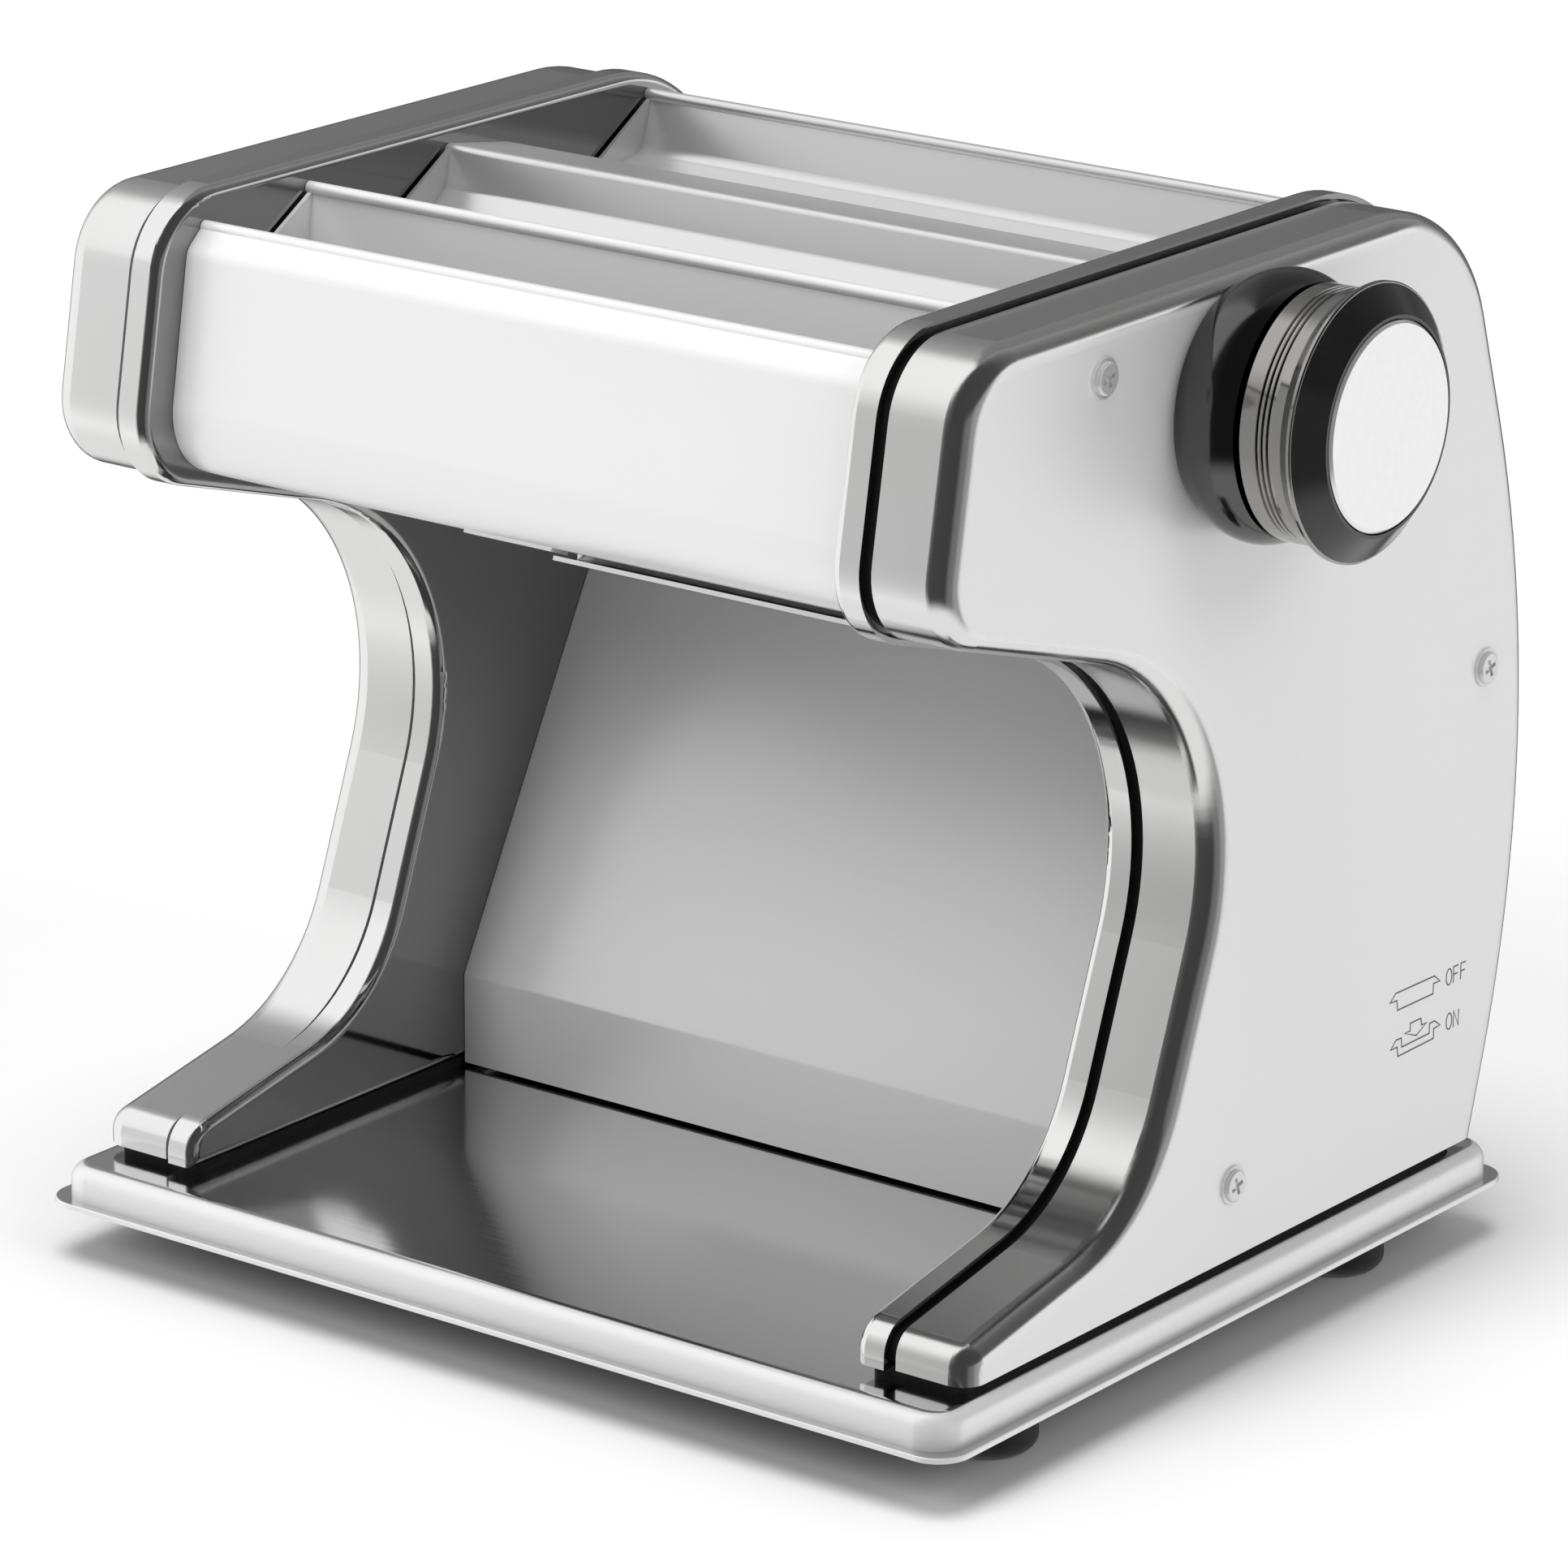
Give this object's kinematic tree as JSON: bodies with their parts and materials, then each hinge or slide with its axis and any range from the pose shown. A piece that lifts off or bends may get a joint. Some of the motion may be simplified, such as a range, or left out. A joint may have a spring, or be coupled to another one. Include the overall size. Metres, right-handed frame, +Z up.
{
  "type": "electric pasta maker",
  "caption": "Motor-driven pasta machine: sheeting rollers with a thickness knob and strand cutters between two polished C-shaped side housings on a tray with rubber feet.",
  "frame": {"origin": "middle of the bounding box in X and Y, on the worktop under the rubber feet", "axes": "+X along the rollers towards the thickness knob, +Y towards the rear panel, +Z up"},
  "size_m": [0.284, 0.2288, 0.2481],
  "materials": {
    "polished_steel": "mirror-polished stainless sheet",
    "tray_steel": "satin pressed stainless sheet",
    "rear_panel_steel": "satin stainless sheet with vents",
    "black_rubber": "matte black rubber",
    "black_plastic": "satin black moulded plastic",
    "screw_steel": "bright steel pan-head screws",
    "zinc_steel": "zinc-plated steel",
    "roller_steel": "turned steel",
    "comb_steel": "plain steel sheet",
    "bronze": "sintered bronze",
    "gear_steel": "oiled machined steel",
    "shaft_steel": "ground steel",
    "motor_paint": "black paint",
    "dark_chrome": "smoked chrome plating",
    "black_gloss": "gloss black plastic",
    "knob_cap_chrome": "flat polished cap",
    "button_plastic": "gloss black plastic"
  },
  "bodies": {
    "machine": {"base_tray": "tray_steel", "comb_holder": "polished_steel", "comb_narrow": "comb_steel", "comb_wide": "comb_steel", "cord_gland": "black_plastic", "cover_posts": "zinc_steel", "cover_screws": "screw_steel", "delivery_ramp": "polished_steel", "divider_front": "polished_steel", "divider_middle": "polished_steel", "foot_front_left": "black_rubber", "foot_front_right": "black_rubber", "foot_rear_left": "black_rubber", "foot_rear_right": "black_rubber", "foot_screws": "screw_steel", "front_cover": "polished_steel", "idler_pins": "zinc_steel", "knob_base": "dark_chrome", "left_base_pad": "black_rubber", "left_bushes": "bronze", "left_frame_plate": "zinc_steel", "left_inner_shell": "polished_steel", "left_outer_cover": "polished_steel", "left_seal": "black_plastic", "motor": "motor_paint", "motor_plate": "zinc_steel", "rear_cover": "rear_panel_steel", "rear_feed_plate": "polished_steel", "right_base_pad": "black_rubber", "right_bushes": "bronze", "right_frame_plate": "zinc_steel", "right_inner_shell": "polished_steel", "right_outer_cover": "polished_steel", "right_seal": "black_plastic", "scraper_front": "comb_steel", "scraper_rear": "comb_steel", "switch_body": "black_plastic", "tie_rods": "zinc_steel"},
    "adjuster": {"knob_shaft": "shaft_steel"},
    "knob": {"knob_body": "dark_chrome", "knob_ring": "black_gloss", "knob_cap": "knob_cap_chrome"},
    "gap_carriage": {"bearing_blocks": "bronze"},
    "adjustable_roller": {"sheeting_roller_adjustable": "roller_steel", "sheeting_gear_adjustable": "gear_steel"},
    "fixed_roller": {"sheeting_roller_fixed": "roller_steel", "sheeting_gear_fixed": "gear_steel", "drive_wheel": "gear_steel"},
    "wide_rear_cutter": {"cutter_wide_rear": "roller_steel", "gears_wide_rear": "gear_steel"},
    "wide_front_cutter": {"cutter_wide_front": "roller_steel", "gears_wide_front": "gear_steel"},
    "narrow_rear_cutter": {"cutter_narrow_rear": "roller_steel", "gears_narrow_rear": "gear_steel"},
    "narrow_front_cutter": {"cutter_narrow_front": "roller_steel", "gears_narrow_front": "gear_steel"},
    "cutter_idler_gear": {"cutter_idler": "gear_steel"},
    "drive_idler_gear": {"drive_idler": "gear_steel"},
    "motor_rotor": {"motor_shaft": "shaft_steel"},
    "power_button": {"switch_button": "button_plastic"}
  },
  "joints": [
    {"name": "thickness_turn", "type": "hinge", "parent": "machine", "child": "adjuster", "pos_m": [0.1219, -0.00518, 0.2182], "axis": [1, 0, 0], "range_deg": [0, 180]},
    {"name": "knob_pull", "type": "slide", "parent": "adjuster", "child": "knob", "axis": [1, 0, 0], "range_m": [0, 0.004], "stiffness_N_per_m": 600},
    {"name": "roller_gap", "type": "slide", "parent": "machine", "child": "gap_carriage", "axis": [0, -1, 0], "range_m": [0, 0.0025]},
    {"name": "adjustable_spin", "type": "hinge", "parent": "gap_carriage", "child": "adjustable_roller", "pos_m": [-0.0156, -0.00518, 0.2182], "axis": [1, 0, 0], "continuous": true},
    {"name": "drive_spin", "type": "hinge", "parent": "machine", "child": "fixed_roller", "pos_m": [-0.0156, 0.02082, 0.2182], "axis": [1, 0, 0], "continuous": true},
    {"name": "wide_rear_spin", "type": "hinge", "parent": "machine", "child": "wide_rear_cutter", "pos_m": [-0.0156, -0.03238, 0.1984], "axis": [1, 0, 0], "continuous": true},
    {"name": "wide_front_spin", "type": "hinge", "parent": "machine", "child": "wide_front_cutter", "pos_m": [-0.0156, -0.05238, 0.1984], "axis": [1, 0, 0], "continuous": true},
    {"name": "narrow_rear_spin", "type": "hinge", "parent": "machine", "child": "narrow_rear_cutter", "pos_m": [-0.0156, -0.06708, 0.21737], "axis": [1, 0, 0], "continuous": true},
    {"name": "narrow_front_spin", "type": "hinge", "parent": "machine", "child": "narrow_front_cutter", "pos_m": [-0.0156, -0.08708, 0.21737], "axis": [1, 0, 0], "continuous": true},
    {"name": "cutter_idler_spin", "type": "hinge", "parent": "machine", "child": "cutter_idler_gear", "pos_m": [-0.0156, -0.00705, 0.19542], "axis": [1, 0, 0], "continuous": true},
    {"name": "drive_idler_spin", "type": "hinge", "parent": "machine", "child": "drive_idler_gear", "pos_m": [-0.0156, 0.0555, 0.16381], "axis": [1, 0, 0], "continuous": true},
    {"name": "motor_spin", "type": "hinge", "parent": "machine", "child": "motor_rotor", "pos_m": [-0.0156, 0.06612, 0.1124], "axis": [1, 0, 0], "continuous": true},
    {"name": "button_press", "type": "slide", "parent": "machine", "child": "power_button", "axis": [0, -1, 0], "range_m": [0, 0.002], "stiffness_N_per_m": 400}
  ],
  "couplings": [
    {"joint": "thickness_turn", "follows": "roller_gap", "rad_per_m": 1256.6},
    {"joint": "adjustable_spin", "follows": "drive_spin", "ratio": -1},
    {"joint": "cutter_idler_spin", "follows": "drive_spin", "ratio": -2},
    {"joint": "wide_rear_spin", "follows": "drive_spin", "ratio": 1.7778},
    {"joint": "wide_front_spin", "follows": "drive_spin", "ratio": -1.7778},
    {"joint": "narrow_rear_spin", "follows": "drive_spin", "ratio": 1.7778},
    {"joint": "narrow_front_spin", "follows": "drive_spin", "ratio": -1.7778},
    {"joint": "drive_idler_spin", "follows": "drive_spin", "ratio": -0.59259},
    {"joint": "motor_spin", "follows": "drive_spin", "ratio": 2}
  ]
}
